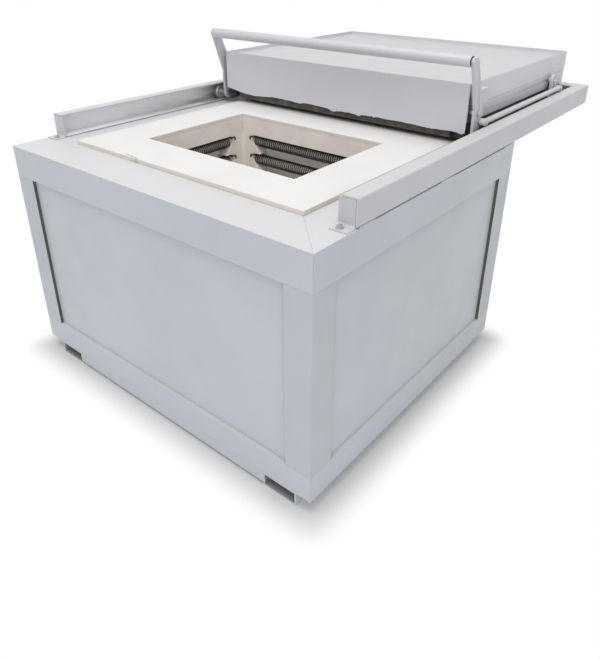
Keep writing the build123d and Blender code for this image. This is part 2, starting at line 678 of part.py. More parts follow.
def lever():
    """Two arms joined by the handle tube, and the pins on which the push rods turn."""
    x = (ARM_X, ARM_X + ARM_THICKNESS)
    bar = [
        (arm_edge(ARM_FRONT_EDGE, 50), Z_AXLE + 50),
        (arm_edge(ARM_BACK_EDGE, 80), Z_AXLE + 80),
        (arm_edge(ARM_BACK_EDGE, ARM_TOP - 4), Z_AXLE + ARM_TOP - 4),
        (arm_edge(ARM_BACK_EDGE, ARM_TOP) - 6, Z_AXLE + ARM_TOP),
        (arm_edge(ARM_FRONT_EDGE, ARM_TOP) + 12, Z_AXLE + ARM_TOP),
        (arm_edge(ARM_FRONT_EDGE, ARM_TOP - 12), Z_AXLE + ARM_TOP - 12),
    ]
    arm = rounded_plate(linkage_corners(AXLE_FRONT), x) + side_plate(bar, x)
    arm = drill_linkage(arm, AXLE_FRONT)
    for name, side in SIDES:
        save(f"lever_arm_{name}", mirrored(arm, side))
    y, z = AXLE_FRONT + HANDLE_OFFSET[0], Z_AXLE + HANDLE_OFFSET[1]
    tube = rod_x((-ARM_X, ARM_X), y, z, HANDLE_RADIUS)
    tube -= rod_x((-ARM_X - 1, ARM_X + 1), y, z, HANDLE_RADIUS - HANDLE_WALL)
    save("handle_tube", tube)
    save("lever_rod_pins", *rod_pins(AXLE_FRONT))


def rod_pins(axle):
    """The pair of pins for the push rods on one pair of linkage plates, riveted in."""
    y, z = axle + ROD_OFFSET[0], Z_AXLE + ROD_OFFSET[1]
    eye = ROD_EYE_WIDTH / 2 + 0.3
    pin = rod_x((ARM_X - 2.5, ROD_X + eye), y, z, ROD_PIN_RADIUS)
    pin += rod_x((ARM_X - 2.5, ARM_X), y, z, ROD_PIN_RADIUS + 3)
    pin += rod_x((ARM_X + ARM_THICKNESS, ROD_X - eye), y, z, ROD_PIN_RADIUS + 4)
    pin += rod_x((ROD_X + eye, ROD_X + eye + 3), y, z, ROD_PIN_RADIUS + 3)
    return [mirrored(pin, side) for _, side in SIDES]


def rear_cranks():
    """The cranks under the lid's back end, with their rod pins and the rollers' axles."""
    axle = AXLE_FRONT + WHEELBASE
    crank = rounded_plate(linkage_corners(axle), (ARM_X, ARM_X + ARM_THICKNESS))
    crank = drill_linkage(crank, axle)
    for name, side in SIDES:
        save(f"rear_crank_{name}", mirrored(crank, side))
    save("crank_rod_pins", *rod_pins(axle))
    save("rear_axle_pins", *axle_pins(axle))
    save("front_axle_pins", *axle_pins(AXLE_FRONT))


def axle_pins(axle):
    """A pair of roller axles: head, shoulders each side of the plate and roller, end ring."""
    wide = AXLE_RADIUS + 4
    roller_end = ROLLER_X + ROLLER_WIDTH
    arm_end = ARM_X + ARM_THICKNESS
    pin = rod_x((ARM_X - 5, roller_end + 4), axle, Z_AXLE, AXLE_RADIUS)
    for x in ((ARM_X - 5, ARM_X - 0.3), (arm_end + 0.3, arm_end + 4), (ROLLER_X - 7, ROLLER_X - 0.3)):
        pin += rod_x(x, axle, Z_AXLE, wide)
    pin += rod_x((roller_end + 0.3, roller_end + 4), axle, Z_AXLE, wide)
    return [mirrored(pin, side) for _, side in SIDES]


def rollers():
    """Four turned rollers with eased rims and a hollowed outer face."""
    r, w = ROLLER_RADIUS, ROLLER_WIDTH
    bore = AXLE_RADIUS + RUNNING_FIT
    rim = [(0, bore), (0, r - 3), (3, r), (w - 3, r), (w, r - 3)]
    face = [(w, 25), (w - 4, 23), (w - 4, 18), (w, 16), (w, bore)]
    half_section = make_face(Polyline(*rim, *face, close=True))
    wheel = revolve(half_section, axis=Axis.X)
    for name, axle in (("front", AXLE_FRONT), ("rear", AXLE_FRONT + WHEELBASE)):
        roller = Pos(ROLLER_X, axle, Z_AXLE) * wheel
        save(f"{name}_rollers", *[mirrored(roller, side) for _, side in SIDES])


def push_rods():
    """The rods that turn the rear cranks with the lever; the rear eye runs loose on its pin."""
    z = Z_AXLE + ROD_OFFSET[1]
    front, back = AXLE_FRONT + ROD_OFFSET[0], AXLE_FRONT + ROD_OFFSET[0] + WHEELBASE
    x = (ROD_X - ROD_EYE_WIDTH / 2, ROD_X + ROD_EYE_WIDTH / 2)
    rod = rod_y(ROD_X, (front, back), z, ROD_RADIUS)
    for y, fit in ((front, RUNNING_FIT), (back, OPEN_PIVOT_FIT)):
        rod += rod_x(x, y, z, ROD_EYE_RADIUS)
        rod -= rod_x((x[0] - 1, x[1] + 1), y, z, ROD_PIN_RADIUS + fit)
    for name, side in SIDES:
        save(f"push_rod_{name}", mirrored(rod, side))


def services():
    """Terminal cover with its screws, gland and terminal block, and the thermocouple."""
    t, f = COVER_SHEET, COVER_FLANGE
    y = (BACK_PANEL, BACK_PANEL + COVER_DEPTH)
    z = (COVER_BOTTOM, COVER_TOP)
    shell = block((-COVER_X, COVER_X), y, z)
    shell -= block((t - COVER_X, COVER_X - t), (y[0] - 1, y[1] - t), (z[0] + t, z[1] - t))
    flange = block((-COVER_X - f, COVER_X + f), (y[0], y[0] + t), (z[0] - f, z[1] + f))
    flange -= block((t - COVER_X, COVER_X - t), (y[0] - 1, y[0] + t + 1), (z[0] + t, z[1] - t))
    cover = shell + flange
    cover -= rod_z(GLAND_X, y[0] + COVER_DEPTH / 2, (z[0] - 1, z[0] + t + 1), GLAND_RADIUS - 3)
    save("terminal_cover", cover)
    screws = []
    for x in (-COVER_X - f / 2, COVER_X + f / 2):
        for height in (z[0] + 40, (z[0] + z[1]) / 2, z[1] - 40):
            screws.append(rod_y(x, (y[0] + t, y[0] + t + 3), height, SCREW_RADIUS))
    save("cover_screws", *screws)
    y_gland = y[0] + COVER_DEPTH / 2
    gland = rod_z(GLAND_X, y_gland, (z[0] - GLAND_LENGTH, z[0]), GLAND_RADIUS)
    gland += rod_z(GLAND_X, y_gland, (z[0], z[0] + t + 6), GLAND_RADIUS - 3.1)
    gland -= rod_z(GLAND_X, y_gland, (z[0] - GLAND_LENGTH - 1, z[0] + t + 7), GLAND_BORE)
    save("cable_gland", gland)
    save("terminal_block", block((-200, 150), (y[0], y[0] + 26), (COVER_TOP - 70, COVER_TOP - 34)))
    probe = rod_y(PROBE_X, (PROBE_TIP, y[0] + 50), probe_height(), PROBE_RADIUS)
    probe += rod_y(PROBE_X, (y[0], y[0] + 34), probe_height(), PROBE_HEAD_RADIUS)
    save("thermocouple", probe)


if __name__ == "__main__":
    print("lever travel", round(lever_travel(), 2))
    print("lid pivot lowered", [round(v, 2) for v in turned(PIVOT_OFFSET, lever_travel())])
    base_rails()
    fork_tubes()
    corner_posts()
    panels()
    top_frame()
    insulation()
    brick_courses()
    corner_bricks()
    elements()
    collar()
    rails()
    rail_fittings()
    lid_cover()
    lid_frame()
    lid_inside()
    lid_stops()
    pivot_pins()
    lever()
    rear_cranks()
    rollers()
    push_rods()
    services()
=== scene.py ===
"""Look of a top-loading chamber furnace with a roll-back lid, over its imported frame.

Metres, +Z up, +X to the right seen from the front, +Y to the back.
"""
import json
import math

import bpy
from mathutils import Euler, Matrix, Vector, noise

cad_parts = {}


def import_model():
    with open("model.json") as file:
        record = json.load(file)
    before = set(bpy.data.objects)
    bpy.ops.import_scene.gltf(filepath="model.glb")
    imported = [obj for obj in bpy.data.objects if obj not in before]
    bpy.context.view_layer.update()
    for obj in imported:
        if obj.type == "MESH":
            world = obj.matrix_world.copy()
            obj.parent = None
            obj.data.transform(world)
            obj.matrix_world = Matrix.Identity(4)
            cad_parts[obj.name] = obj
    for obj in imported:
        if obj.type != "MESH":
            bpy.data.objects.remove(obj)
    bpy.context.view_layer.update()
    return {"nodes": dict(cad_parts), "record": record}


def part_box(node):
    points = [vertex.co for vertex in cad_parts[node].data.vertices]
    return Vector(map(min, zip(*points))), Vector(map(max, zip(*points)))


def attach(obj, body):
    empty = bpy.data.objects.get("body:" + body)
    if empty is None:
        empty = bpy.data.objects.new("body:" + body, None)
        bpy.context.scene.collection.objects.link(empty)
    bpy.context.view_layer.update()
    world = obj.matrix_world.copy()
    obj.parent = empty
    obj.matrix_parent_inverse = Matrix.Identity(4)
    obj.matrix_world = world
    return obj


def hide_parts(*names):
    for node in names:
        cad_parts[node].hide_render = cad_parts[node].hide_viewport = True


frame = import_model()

NODES = frame["nodes"]

# Camera, solved from the casing's, the mouth's and the lid's corners
CAMERA_AZIMUTH = 39.552
CAMERA_ELEVATION = 26.570
CAMERA_ROLL = 0.018
CAMERA_PLACE = (1.5307, -2.0929, 1.5541)
CAMERA_LENS = 33.456
CAMERA_SHIFT = (0.0045, -0.1125)

# Light: each lamp has its azimuth and elevation in degrees and its power in watts
WORLD_LIGHT = 0.62
LAMPS = (("key", 20, 78, 228), ("fill", 32, 14, 50))
LAMP_TARGET = (0.0, -0.2, 0.6)
LAMP_DISTANCE = 6.0
LAMP_SIZE = 5.0

# Floor, as it reflects light and as it is seen, and its shadow, which fades to white with the
# distance from the casing's footprint (middle and half size, at any height)
FLOOR_HALF = 60
FLOOR_COLOUR = 0.86
# Painted shadow: the floor as seen is darker than the light it reflects, near the casing
FLOOR_PAINTED_SHADOW = 0.64
SHADOW_REACH = 0.13
SHADOW_DEPTH = 0.90
FOOTPRINT = ((0.0, -0.426, 0.0), (0.717, 0.619, 10.0))

# Colours as linear values, and factors on them
PAINT = (0.515, 0.536, 0.577)
# Painted light: the lid's paint is lighter than the casing's, to make up for the shade on the lid's
# front
LIT_LID_PAINT = (0.632, 0.640, 0.680)
GEAR_PAINT = (0.545, 0.556, 0.582)
BOARD = (0.708, 0.702, 0.690)
BOARD_EDGE = (0.700, 0.620, 0.500)
BRICK = (0.785, 0.738, 0.682)
# Painted light: the slots' brick is lighter than the corner bricks, to make up for the shade in the
# slots
LIT_SLOT_BRICK = (0.930, 0.915, 0.860)
# Painted shade, in part: the fibre under the lid is near black for the shade under it as well as its
# own dark colour
LID_FIBRE = (0.075, 0.066, 0.060)
WIRE = (0.060, 0.056, 0.048)
TUBE = (0.860, 0.830, 0.770)
# Partly real grease and partly painted shade in the left rail's channel under the lid
GREASE_AND_SHADE = (0.130, 0.085, 0.050)
# Painted light: tones for the faces that look up, warmer than the paint, lighter on the casing and
# darker on the lid, for the light from above
TOP_LIGHT_TONE = (0.600, 0.590, 0.600)
LID_TOP_LIGHT_TONE = (0.505, 0.497, 0.505)
GEAR_TOP_LIGHT_TONE = (0.540, 0.530, 0.540)
# Painted light: the left rail's web below its flange is lighter, to make up for the flange's shade
LIT_WEB_PAINT = (0.880, 0.885, 0.905)
# Painted shade for the gaps beside the posts' returned edges and on the lid's sides
PAINTED_SHADE_COLOUR = (0.055, 0.050, 0.044)
# Painted shade inside the fork tubes, darker deeper in
POCKET_SHADE_COLOUR = (0.115, 0.105, 0.092)
TORN_FIBRE = (0.30, 0.27, 0.24)
STEEL = (0.52, 0.52, 0.53)
ZINC = (0.40, 0.41, 0.42)
DARK_PLASTIC = (0.02, 0.02, 0.022)
# Near-black steel under the lid: partly its own dark colour and partly painted shade under the lid's
# skirt
DARK_STEEL_AND_SHADE = (0.022, 0.020, 0.019)
# Painted shade: the corner posts' paint is darker, to cancel the extra light that falls on them
POST_PAINTED_SHADE = 0.93
MOUTH_SHADE = 0.93
CRACK_SHADE = 0.35
INSULATION_SHADE = 0.85

# Widths of the rounded edges by slot, the least angle in degrees, and the reach of the weld
EASED = {
    "casing_paint": 0.0011,
    "gear_paint": 0.0009,
    "fibre_board": 0.0018,
    "brick": 0.0015,
    "steel": 0.0005,
}
EASED_ANGLE = 35
WELD = 0.00002

# The posts' returned edges: half distance across, middle and half distance along the depth, and
# the distances at which the painted shade of the gap ends and is full
POST_EDGE = (0.617, 0.619, 0.519)
POST_FADE = (0.0005, 0.0003)

# The fork tubes' middles, and half the width and height of their hollows with its middle's height
FORK_CENTRES = {"left": -0.564, "right": 0.593}
POCKET = (0.0615, 0.0205, 0.0265)
POCKET_FADE = (0.0008, 0.0004)
POCKET_DEPTH = 0.10

# How far the origin is behind the casing's front; the places in Y below are from that front
FRONT_TO_ORIGIN = 1.045

# The left rail's web, the underside of its flange and its inner corner, and where the grease and
# painted shade lie
RAIL_WEB = 0.715
RAIL_FLANGE = (0.979, 0.976)
RAIL_CORNER = 0.908
GREASE_AND_SHADE_START = 0.45
GREASE_AND_SHADE_ROLLER = 1.05
GREASE_AND_SHADE_HEAP = (0.16, 0.02)
GREASE_AND_SHADE_HEIGHTS = (0.950, 0.912)
SPECK_REACH = (0.006, 0.002)

# The collar's half width and front, its opening, and the line of the crack across it
COLLAR_EDGE = (0.550, 0.168)
COLLAR_RIM = 0.003
MOUTH = (0.361, 0.355, 0.868)
MOUTH_FADE = (0.0025, 0.0015)
CRACK_ENDS = (-0.265, -0.180)
CRACK_TAPER = 0.008
CRACK_SLOPE = -0.116
CRACK_PLACE = 0.1486
CRACK_WANDER = 0.006
CRACK_WIDTH = (0.0034, 0.0016)

# The lid's half width, and its front panel's lower edge: height, end of its straight part and rise
LID_HALF = 0.607
LIP_HEIGHT = 0.960
LIP_END = 0.545
CORNER_RISE = 0.009

# The painted shade of the gap on the lid's sides, from its apex down to its wide end
GAP_APEX = (1.030, 1.100)
GAP_FOOT = (1.092, 0.965)
GAP_FRONT = 1.028
GAP_SIDE = (0.0012, 0.0006)
GAP_SOFT = 0.002
GAP_SLOPE = (GAP_FOOT[0] - GAP_APEX[0]) / (GAP_APEX[1] - GAP_FOOT[1])
GAP_BACK = GAP_APEX[0] + GAP_APEX[1] * GAP_SLOPE

# The torn lower edge of the lid's front panel: places along X in metres and depths below the lip
TEAR = (
    (-0.545, 0.001), (-0.500, 0.006), (-0.440, 0.009), (-0.400, 0.007), (-0.330, 0.001),
    (-0.280, 0.000), (-0.215, 0.003), (-0.166, 0.006), (-0.150, 0.002), (-0.116, 0.000),
    (-0.060, 0.003), (-0.012, 0.005), (0.014, 0.013), (0.020, 0.012), (0.050, 0.007),
    (0.100, 0.006), (0.146, 0.012), (0.152, 0.007), (0.198, 0.004), (0.205, 0.001),
    (0.213, 0.008), (0.235, 0.003), (0.272, 0.005), (0.336, 0.003), (0.400, 0.005),
    (0.450, 0.008), (0.520, 0.005), (0.565, 0.004), (0.593, 0.009), (0.606, 0.004),
)
TEAR_STEPS = 260
TEAR_SHEET = (0.0002, 0.0024)
TEAR_OVERLAP = 0.004
TEAR_LEAST = 0.0004

# Raggedness of the torn edge: height, bumps' rate along it and a row of the noise
TEAR_ROUGH = ((0.0016, 60, 7.7), (0.0012, 160, 1.3))

# Rows of corner bricks and of heating elements
ROWS = 3

# The corner bricks' legs along X and Y, the depth of the slots beside them, and their sloping toes
CORNER_LEGS = (0.056, 0.068)
SLOT_DEPTH = 0.050
TOE_LENGTH = 0.040
TOE_HEIGHT = 0.056
TOE_SUNK = 0.001
TOE_SET_BACK = 0.0002

# Heating elements: close coils on straight leads, whose bare ends are hooked
COIL_RADIUS = 0.0215
WIRE_RADIUS = 0.0026
TURN_PITCH = 0.0106
LEAD = 0.020
HOOK_RADIUS = 0.0038
HOOK_OUT = 0.020
HOOK_DROP = 0.012
HOOK_START = 0.9
HOOK_GAP = 0.002
HOOK_RISE = 0.001
HOOK_BEND = 0.005
BEND_STEPS = 4
WIRE_SIDES = 6
STEPS_PER_TURN = 14


# Materials


class Material:
    """A principled material that is built up node by node on object coordinates."""

    def __init__(self, name, colour, roughness, metallic=0.0):
        self.material = bpy.data.materials.new(name)
        self.material.use_nodes = True
        self.tree = self.material.node_tree
        self.shader = self.tree.nodes["Principled BSDF"]
        self.shader.inputs["Base Color"].default_value = (*colour, 1)
        self.shader.inputs["Roughness"].default_value = roughness
        self.shader.inputs["Metallic"].default_value = metallic
        self.coordinates = self.tree.nodes.new("ShaderNodeTexCoord").outputs["Object"]
        self.colour = colour
        self.heights = None

    def node(self, kind, **inputs):
        """A new node, with values or links for its inputs by name or number."""
        made = self.tree.nodes.new(kind)
        for key, value in inputs.items():
            numbered = key[0] == "i" and key[1:].isdigit()
            socket = made.inputs[int(key[1:]) if numbered else key.replace("_", " ")]
            if isinstance(value, bpy.types.NodeSocket):
                self.tree.links.new(value, socket)
            else:
                socket.default_value = value
        return made

    def stretched(self, scale):
        """The object coordinates, scaled along each axis."""
        mapping = self.node("ShaderNodeMapping", Vector=self.coordinates)
        mapping.inputs["Scale"].default_value = scale
        return mapping.outputs["Vector"]

    def noise(self, scale, detail=4.0, roughness=0.55, vector=None):
        """A noise value from 0 to 1; scale is in features a metre."""
        made = self.node(
            "ShaderNodeTexNoise",
            Vector=vector or self.coordinates,
            Scale=scale,
            Detail=detail,
            Roughness=roughness,
        )
        return made.outputs["Fac"]

    def place(self, axis):
        """The place across, behind the casing's front or above the floor, in metres."""
        here = self.node("ShaderNodeSeparateXYZ", Vector=self.coordinates).outputs[axis]
        return self.calculate("ADD", here, FRONT_TO_ORIGIN) if axis == "Y" else here

    def away(self, axis, centre=0.0):
        """The distance from a plane across one axis, to either side."""
        return self.calculate("ABSOLUTE", self.calculate("SUBTRACT", self.place(axis), centre), 0.0)

    def near(self, axis, centre, half, fade):
        """One up to half a width from a plane, then fading out between two further distances."""
        return self.ramp(self.away(axis, centre), half + fade[0], half + fade[1])

    def upward(self):
        """The vertical part of the surface's normal."""
        normal = self.tree.nodes.new("ShaderNodeNewGeometry").outputs["Normal"]
        return self.node("ShaderNodeSeparateXYZ", Vector=normal).outputs["Z"]

    def calculate(self, operation, first, second):
        """One sum, product or other step on two values."""
        made = self.node("ShaderNodeMath", i0=first, i1=second)
        made.operation = operation
        return made.outputs["Value"]

    def product(self, first, *others):
        """The product of two or more values."""
        for other in others:
            first = self.calculate("MULTIPLY", first, other)
        return first

    def ramp(self, value, low, high, start=0.0, end=1.0):
        """Maps a value between two bounds to another range."""
        made = self.node(
            "ShaderNodeMapRange", Value=value, From_Min=low, From_Max=high, To_Min=start, To_Max=end
        )
        return made.outputs["Result"]

    def tint(self, value, colour, amount=1.0):
        """Mixes another colour in where the value is high."""
        shader_input = self.shader.inputs["Base Color"]
        mix = self.tree.nodes.new("ShaderNodeMix")
        mix.data_type = "RGBA"
        factor = self.ramp(value, 0, 1, 0, amount)
        self.tree.links.new(factor, mix.inputs["Factor"])
        if shader_input.is_linked:
            self.tree.links.new(shader_input.links[0].from_socket, mix.inputs["A"])
        else:
            mix.inputs["A"].default_value = (*self.colour, 1)
        mix.inputs["B"].default_value = (*colour, 1)
        self.tree.links.new(mix.outputs["Result"], shader_input)

    def gloss(self, value, low, high):
        """Roughness from a value."""
        self.tree.links.new(self.ramp(value, 0.3, 0.7, low, high), self.shader.inputs["Roughness"])

    def bump(self, value, distance, strength=1.0):
        """Adds relief; distance is its height in metres."""
        made = self.node("ShaderNodeBump", Height=value, Distance=distance, Strength=strength)
        if self.heights is not None:
            self.tree.links.new(self.heights, made.inputs["Normal"])
        self.heights = made.outputs["Normal"]
        self.tree.links.new(self.heights, self.shader.inputs["Normal"])


def shade(colour, factor):
    """A colour made darker or lighter."""
    return tuple(min(1.0, c * factor) for c in colour)


def paint(name, colour, marks=None, top_light=TOP_LIGHT_TONE):
    """Powder coat on sheet steel: fine orange peel, faint clouds, painted light on the top faces and
    rubbed marks.
    """
    m = Material(name, colour, 0.42)
    m.tint(m.ramp(m.noise(2.3, 3), 0.35, 0.7), shade(colour, 0.90), 0.55)
    m.tint(m.ramp(m.noise(1400, 2), 0.45, 0.75), shade(colour, 1.12), 0.30)
    scuffs = m.noise(26, 6, 0.7, m.stretched((1, 1, 0.25)))
    m.tint(m.ramp(scuffs, 0.66, 0.76), shade(colour, 0.72), 0.35)
    # Painted light on the faces that look up
    m.tint(m.ramp(m.upward(), 0.7, 0.95), top_light, 0.9)
    if marks is not None:
        marks(m)
    m.gloss(m.noise(9, 5), 0.36, 0.52)
    m.bump(m.noise(520, 2), 0.00012, 0.35)
    m.bump(m.noise(3.5, 1), 0.004, 0.10)
    return m.material


def near_plane(m, axis, centre, offset):
    """One on the two planes that stand off a middle plane to both sides, and zero elsewhere."""
    off = m.calculate("ABSOLUTE", m.calculate("SUBTRACT", m.away(axis, centre), offset), 0.0)
    return m.ramp(off, *POST_FADE)


def post_gap_shade(m):
    """Painted shade in the gaps between the posts' returned edges and the panels."""
    half_width, middle, half_depth = POST_EDGE
    sides = near_plane(m, "X", 0.0, half_width)
    ends = near_plane(m, "Y", middle, half_depth)
    m.tint(m.calculate("MAXIMUM", sides, ends), PAINTED_SHADE_COLOUR, 0.92)


def shaded_pocket(centre):
    """Marks for a fork tube: painted shade inside it, darker deeper in."""
    half_width, half_height, height = POCKET

    def marks(m):
        across = m.near("X", centre, half_width, POCKET_FADE)
        up = m.near("Z", height, half_height, POCKET_FADE)
        depth = m.ramp(m.place("Y"), 0.0, POCKET_DEPTH, 0.55, 1.0)
        m.tint(m.product(across, up, depth), POCKET_SHADE_COLOUR, 0.9)

    return marks


def lid_gap_shade(m):
    """Painted shade in the slanting gaps behind the side edges of the lid's front panel."""
    side = m.ramp(m.away("X"), *(LID_HALF - depth for depth in GAP_SIDE))
    behind_edge = m.ramp(m.place("Y"), GAP_FRONT, GAP_FRONT + GAP_SOFT)
    slant = m.calculate("ADD", m.place("Y"), m.product(m.place("Z"), GAP_SLOPE))
    before_slant = m.ramp(slant, GAP_BACK + GAP_SOFT, GAP_BACK - GAP_SOFT)
    m.tint(m.product(side, behind_edge, before_slant), PAINTED_SHADE_COLOUR, 0.95)


def left_rail_marks(m):
    """The left rail's web below its flange is paler than the casing as painted light, with brown
    grease and painted shade, thickest by the roller.
    """
    below_flange = m.ramp(m.place("Z"), *RAIL_FLANGE)
    m.tint(below_flange, LIT_WEB_PAINT, 0.9)
    streaks = m.ramp(m.noise(22, 6, 0.7, m.stretched((1, 0.35, 2))), 0.30, 0.60)
    thick = m.ramp(m.place("Y"), *(GREASE_AND_SHADE_ROLLER - before for before in GREASE_AND_SHADE_HEAP))
    along = m.ramp(m.place("Y"), GREASE_AND_SHADE_START, GREASE_AND_SHADE_ROLLER)
    thin = m.product(along, m.ramp(m.place("Z"), *GREASE_AND_SHADE_HEIGHTS, 0.0, 0.8))
    inner = m.ramp(m.away("X"), RAIL_WEB, RAIL_WEB - 0.001)
    amount = m.calculate("MAXIMUM", thick, thin)
    m.tint(m.product(amount, streaks, below_flange, inner), GREASE_AND_SHADE, 0.9)
    specks = m.ramp(m.noise(160, 4, 0.7), 0.62, 0.70)
    m.tint(m.product(specks, m.near("Z", RAIL_CORNER, 0.0, SPECK_REACH)), GREASE_AND_SHADE, 0.8)


def collar_marks(m):
    """The collar's beige outer edge, its mouth in the bricks' tone, and one fine crack across it."""
    side = m.ramp(m.away("X"), COLLAR_EDGE[0] - COLLAR_RIM, COLLAR_EDGE[0])
    front = m.ramp(m.place("Y"), COLLAR_EDGE[1] + COLLAR_RIM, COLLAR_EDGE[1])
    m.tint(m.calculate("MAXIMUM", side, front), BOARD_EDGE, 0.35)
    half, near_edge, far_edge = MOUTH
    reach = (far_edge - near_edge) / 2
    along = m.near("Y", (near_edge + far_edge) / 2, reach, MOUTH_FADE)
    across = m.near("X", 0.0, half, MOUTH_FADE)
    m.tint(m.product(along, across), shade(BRICK, MOUTH_SHADE), 0.9)
    wander = m.ramp(m.noise(30, 4, 0.7), 0.2, 0.8, -CRACK_WANDER, CRACK_WANDER)
    line = m.calculate("ADD", m.product(m.place("X"), CRACK_SLOPE), CRACK_PLACE)
    off = m.calculate("ADD", m.calculate("SUBTRACT", m.place("Y"), line), wander)
    near = m.ramp(m.calculate("ABSOLUTE", off, 0.0), *CRACK_WIDTH)
    after_start = m.ramp(m.place("X"), CRACK_ENDS[0], CRACK_ENDS[0] + CRACK_TAPER)
    before_end = m.ramp(m.place("X"), CRACK_ENDS[1], CRACK_ENDS[1] - CRACK_TAPER)
    m.tint(m.product(near, after_start, before_end), shade(BOARD_EDGE, CRACK_SHADE), 0.75)


def fibre_board(name, colour, stain=0.90, specks=0.5, marks=None):
    """Pressed ceramic fibre: matt, with short fibres, soft pits and faint stains."""
    m = Material(name, colour, 0.92)
    m.tint(m.ramp(m.noise(5, 5, 0.6), 0.42, 0.72), shade(colour, stain), 0.6)
    m.tint(m.ramp(m.noise(240, 3, 0.7), 0.60, 0.74), BOARD_EDGE, specks)
    if marks is not None:
        marks(m)
    m.bump(m.noise(420, 4, 0.7, m.stretched((1, 0.35, 1))), 0.0006, 0.6)
    m.bump(m.noise(60, 3), 0.0012, 0.35)
    return m.material


def brick(name, colour):
    """Light firebrick: porous, with pinholes and a mottled, baked surface."""
    m = Material(name, colour, 0.95)
    m.tint(m.ramp(m.noise(11, 4), 0.40, 0.68), shade(colour, 1.14), 0.6)
    m.tint(m.ramp(m.noise(170, 5, 0.75), 0.56, 0.70), shade(colour, 0.62), 0.6)
    m.bump(m.noise(300, 5, 0.75), 0.0014, 0.7)
    return m.material


def dark_fibre(name, colour):
    """Near-black fibre under the lid, torn and fluffy; its darkness is partly painted shade."""
    m = Material(name, colour, 0.96)
    m.tint(m.ramp(m.noise(28, 6, 0.7), 0.46, 0.70), shade(colour, 2.3), 0.8)
    m.tint(m.ramp(m.noise(300, 4, 0.7), 0.56, 0.72), TORN_FIBRE, 0.35)
    m.bump(m.noise(150, 6, 0.75, m.stretched((0.4, 1, 1))), 0.003, 0.8)
    return m.material


def wire(name, colour):
    """Oxidised resistance wire."""
    m = Material(name, colour, 0.45, 0.3)
    m.tint(m.ramp(m.noise(60, 4), 0.45, 0.7), shade(colour, 0.6), 0.6)
    m.gloss(m.noise(400, 3), 0.30, 0.52)
    m.bump(m.noise(1800, 3), 0.0001, 0.5)
    return m.material


def steel(name, colour):
    """Turned or rolled steel with fine tool marks and a little oil film."""
    m = Material(name, colour, 0.36, 0.9)
    m.tint(m.ramp(m.noise(40, 5, 0.65), 0.50, 0.72), shade(colour, 0.55), 0.5)
    marks = m.noise(90, 2, 0.5, m.stretched((30, 1, 1)))
    m.gloss(marks, 0.26, 0.48)
    m.bump(marks, 0.00008, 0.5)
    return m.material


def plain(name, colour, roughness):
    """Moulded plastic or rubber with a fine grain."""
    m = Material(name, colour, roughness)
    m.tint(m.ramp(m.noise(20, 4), 0.4, 0.7), shade(colour, 1.6), 0.4)
    m.gloss(m.noise(200, 3), roughness - 0.08, roughness + 0.08)
    m.bump(m.noise(900, 3), 0.0001, 0.6)
    return m.material


MATERIALS = {
    "casing_paint": paint("casing_paint", PAINT),
    "gear_paint": paint("gear_paint", GEAR_PAINT, top_light=GEAR_TOP_LIGHT_TONE),
    "fibre_board": fibre_board("fibre_board", BOARD),
    "insulation_board": fibre_board("insulation_board", shade(BOARD, INSULATION_SHADE)),
    "brick": brick("brick", BRICK),
    "lid_fibre": dark_fibre("lid_fibre", LID_FIBRE),
    "ceramic_tube": brick("ceramic_tube", TUBE),
    "element_wire": wire("element_wire", WIRE),
    "steel": steel("steel", STEEL),
    "zinc": paint("zinc", ZINC),
    "dark_plastic": plain("dark_plastic", DARK_PLASTIC, 0.5),
    "dark_steel": plain("dark_steel", DARK_STEEL_AND_SHADE, 0.7),
}

# Nodes whose finish differs from the rest of their slot's
OWN_FINISH = {
    "lid_cover": paint("lid_cover_paint", LIT_LID_PAINT, lid_gap_shade, LID_TOP_LIGHT_TONE),
    "lid_frame": paint("lid_frame_paint", LIT_LID_PAINT, lid_gap_shade, LID_TOP_LIGHT_TONE),
    "collar": fibre_board("collar_board", BOARD, 0.92, 0.4, collar_marks),
    # Painted light: the slot walls in a lighter brick
    "chamber_walls": brick("lit_slot_brick", LIT_SLOT_BRICK),
    "rail_left": paint("rail_left_paint", GEAR_PAINT, left_rail_marks, GEAR_TOP_LIGHT_TONE),
}
for side, centre in FORK_CENTRES.items():
    OWN_FINISH[f"fork_tube_{side}"] = paint(f"fork_paint_{side}", PAINT, shaded_pocket(centre))
# Painted shade: the corner posts in darker paint, with painted shade in their gaps
SHADED_POST_PAINT = paint("shaded_post_paint", shade(PAINT, POST_PAINTED_SHADE), post_gap_shade)
for depth in ("front", "rear"):
    for side in ("left", "right"):
        OWN_FINISH[f"corner_post_{depth}_{side}"] = SHADED_POST_PAINT


def set_material(obj, slot):
    """Gives a whole object one of the slots' materials."""
    obj.data.materials.clear()
    obj.data.materials.append(MATERIALS[slot])


def ease_edges(obj, width):
    """Rounds the edges of a piece, whose faces may come in unjoined."""
    weld = obj.modifiers.new("weld", "WELD")
    weld.merge_threshold = WELD
    bevel = obj.modifiers.new("bevel", "BEVEL")
    bevel.width = width
    bevel.segments = 2
    bevel.limit_method = "ANGLE"
    bevel.angle_limit = math.radians(EASED_ANGLE)
    bevel.harden_normals = False


def dress_nodes():
    """Every CAD node gets its slot's material or its own finish, and the folded edges of the slots
    listed in EASED are eased.
    """
    slots = {s["node"]: s["material_slot"] for s in frame["record"]["subparts"]}
    for name, obj in NODES.items():
        set_material(obj, slots[name])
        if name in OWN_FINISH:
            obj.data.materials[0] = OWN_FINISH[name]
        if slots[name] in EASED:
            ease_edges(obj, EASED[slots[name]])


# Pieces that are added to the CAD ones


